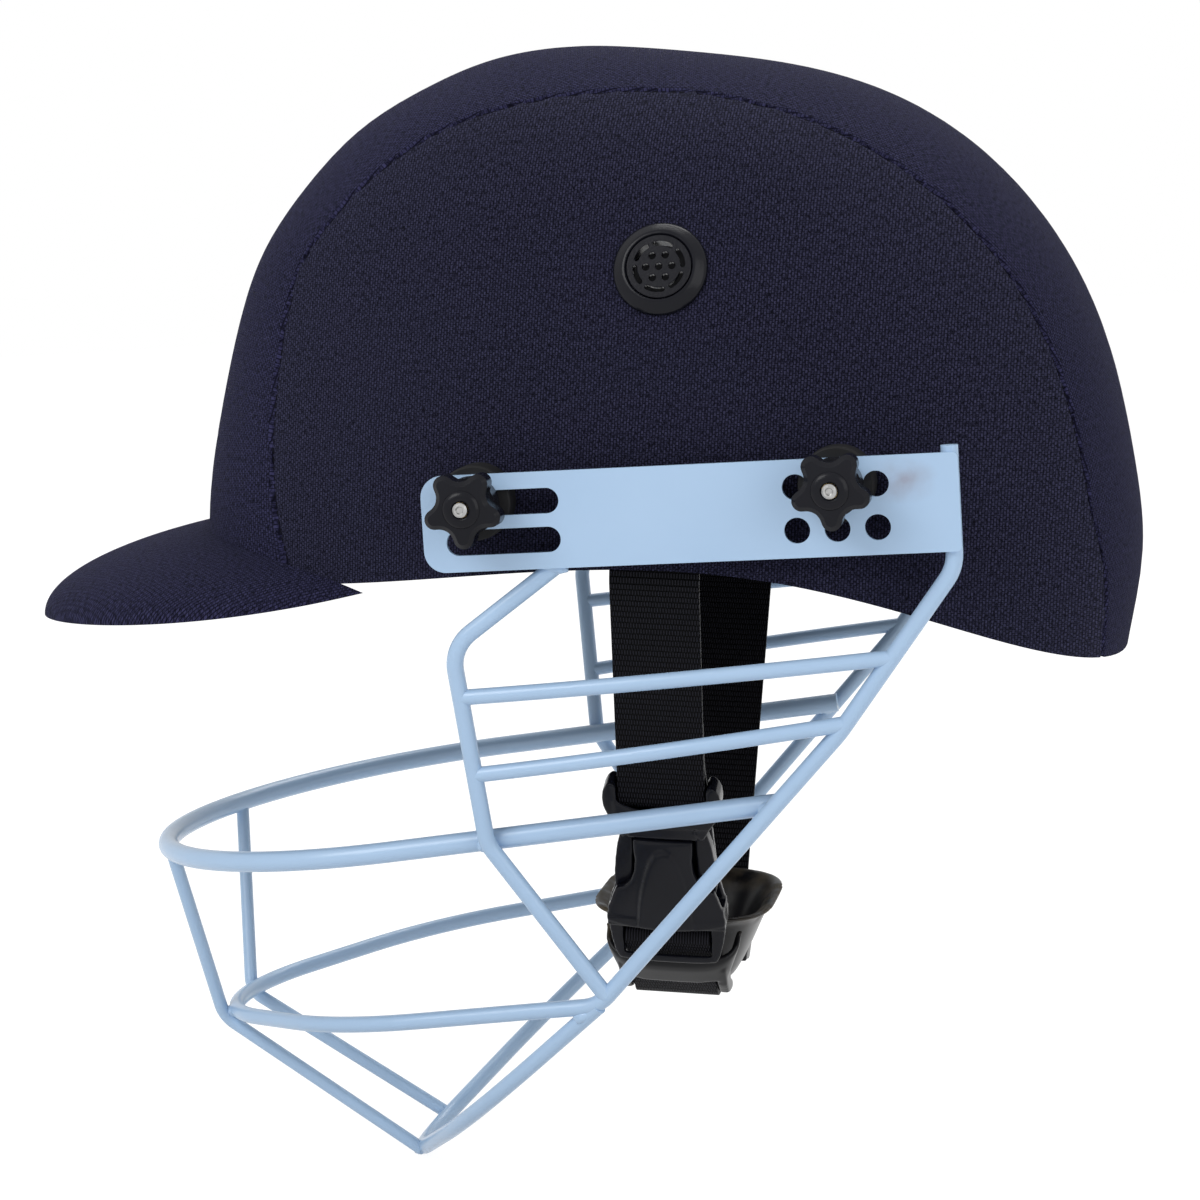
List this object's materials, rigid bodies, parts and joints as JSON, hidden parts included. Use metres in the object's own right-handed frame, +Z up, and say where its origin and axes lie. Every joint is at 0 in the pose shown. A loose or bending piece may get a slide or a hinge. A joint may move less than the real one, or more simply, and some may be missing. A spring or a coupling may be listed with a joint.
{
  "type": "cricket helmet",
  "caption": "Cloth covered helmet with a peak, a welded wire face guard held by star knobs, foam liner, and a chin strap with cup and side release buckle.",
  "frame": {"origin": "middle of the head opening, at the level of the shell's rim beside the ears", "axes": "-X points to the front where the face guard is, +Y to the wearer's right, +Z up to the crown"},
  "size_m": [0.3362, 0.254, 0.3364],
  "materials": {
    "cover_cloth": "dark navy knitted cloth bonded over the moulded shell and the peak",
    "pad_lining": "black brushed lining cloth over soft foam",
    "liner_foam": "charcoal moulded foam",
    "black_plastic": "fine satin moulding",
    "guard_paint": "powder blue gloss coating, thick at the welds",
    "webbing": "black ribbed webbing",
    "rivet_plastic": "black moulded rivet",
    "buckle_plastic": "black moulding, satin gloss",
    "cup_plastic": "black soft moulding with a brownish rim",
    "bolt_steel": "zinc plated steel",
    "washer_steel": "zinc plated steel",
    "black_rubber": "black rubber",
    "knob_plastic": "black moulding with fine grain",
    "insert_brass": "turned brass"
  },
  "bodies": {
    "helmet": {"outer_shell": "cover_cloth", "peak": "cover_cloth", "brow_pad": "pad_lining", "nape_pad": "pad_lining", "left_ear_pad": "pad_lining", "right_ear_pad": "pad_lining", "upper_liner": "liner_foam", "crown_pad": "pad_lining", "left_vent_bezel": "black_plastic", "right_vent_bezel": "black_plastic", "left_vent_disc": "black_plastic", "right_vent_disc": "black_plastic", "main_wire": "guard_paint", "upper_ring": "guard_paint", "chin_hoop": "guard_paint", "left_strap_rivet": "rivet_plastic", "right_strap_rivet": "rivet_plastic", "left_side_plate": "guard_paint", "left_cheek_bar": "guard_paint", "left_upper_bar": "guard_paint", "left_lower_bar": "guard_paint", "left_front_strut": "guard_paint", "left_front_bolt": "bolt_steel", "left_front_spacer": "black_rubber", "left_rear_bolt": "bolt_steel", "left_rear_spacer": "black_rubber", "right_side_plate": "guard_paint", "right_cheek_bar": "guard_paint", "right_upper_bar": "guard_paint", "right_lower_bar": "guard_paint", "right_front_strut": "guard_paint", "right_front_bolt": "bolt_steel", "right_front_spacer": "black_rubber", "right_rear_bolt": "bolt_steel", "right_rear_spacer": "black_rubber"},
    "chin_strap": {"right_strap": "webbing", "buckle_socket": "buckle_plastic", "chin_cup": "cup_plastic"},
    "buckle_plug": {"buckle_plug": "buckle_plastic", "latch_arms": "buckle_plastic", "left_strap": "webbing"},
    "left_front_washer": {"left_front_washer": "washer_steel"},
    "left_front_knob": {"left_front_knob": "knob_plastic", "left_front_insert": "insert_brass"},
    "left_rear_washer": {"left_rear_washer": "washer_steel"},
    "left_rear_knob": {"left_rear_knob": "knob_plastic", "left_rear_insert": "insert_brass"},
    "right_front_washer": {"right_front_washer": "washer_steel"},
    "right_front_knob": {"right_front_knob": "knob_plastic", "right_front_insert": "insert_brass"},
    "right_rear_washer": {"right_rear_washer": "washer_steel"},
    "right_rear_knob": {"right_rear_knob": "knob_plastic", "right_rear_insert": "insert_brass"}
  },
  "joints": [
    {"name": "left_front_washer_slide", "type": "slide", "parent": "helmet", "child": "left_front_washer", "axis": [0, -1, 0], "range_m": [0, 0.0035]},
    {"name": "left_front_knob_spin", "type": "hinge", "parent": "left_front_washer", "child": "left_front_knob", "pos_m": [-0.0397, -0.11, 0.0213], "axis": [0, -1, 0], "range_deg": [0, 1800]},
    {"name": "left_rear_washer_slide", "type": "slide", "parent": "helmet", "child": "left_rear_washer", "axis": [0, -1, 0], "range_m": [0, 0.0035]},
    {"name": "left_rear_knob_spin", "type": "hinge", "parent": "left_rear_washer", "child": "left_rear_knob", "pos_m": [0.0595, -0.11, 0.02185], "axis": [0, -1, 0], "range_deg": [0, 1800]},
    {"name": "right_front_washer_slide", "type": "slide", "parent": "helmet", "child": "right_front_washer", "axis": [0, 1, 0], "range_m": [0, 0.0035]},
    {"name": "right_front_knob_spin", "type": "hinge", "parent": "right_front_washer", "child": "right_front_knob", "pos_m": [-0.0397, 0.11, 0.0213], "axis": [0, 1, 0], "range_deg": [0, 1800]},
    {"name": "right_rear_washer_slide", "type": "slide", "parent": "helmet", "child": "right_rear_washer", "axis": [0, 1, 0], "range_m": [0, 0.0035]},
    {"name": "right_rear_knob_spin", "type": "hinge", "parent": "right_rear_washer", "child": "right_rear_knob", "pos_m": [0.0595, 0.11, 0.02185], "axis": [0, 1, 0], "range_deg": [0, 1800]},
    {"name": "chin_strap_swing", "type": "hinge", "parent": "helmet", "child": "chin_strap", "pos_m": [0.008, 0, 0.01], "axis": [0, 1, 0], "range_deg": [-12, 20]},
    {"name": "buckle_release", "type": "slide", "parent": "chin_strap", "child": "buckle_plug", "axis": [0.0793, -0.4142, 0.9067], "range_m": [0, 0.025], "deforming": ["left_strap", "latch_arms"]}
  ],
  "couplings": [
    {"joint": "left_front_knob_spin", "follows": "left_front_washer_slide", "rad_per_m": 8976},
    {"joint": "left_rear_knob_spin", "follows": "left_rear_washer_slide", "rad_per_m": 8976},
    {"joint": "right_front_knob_spin", "follows": "right_front_washer_slide", "rad_per_m": 8976},
    {"joint": "right_rear_knob_spin", "follows": "right_rear_washer_slide", "rad_per_m": 8976}
  ]
}
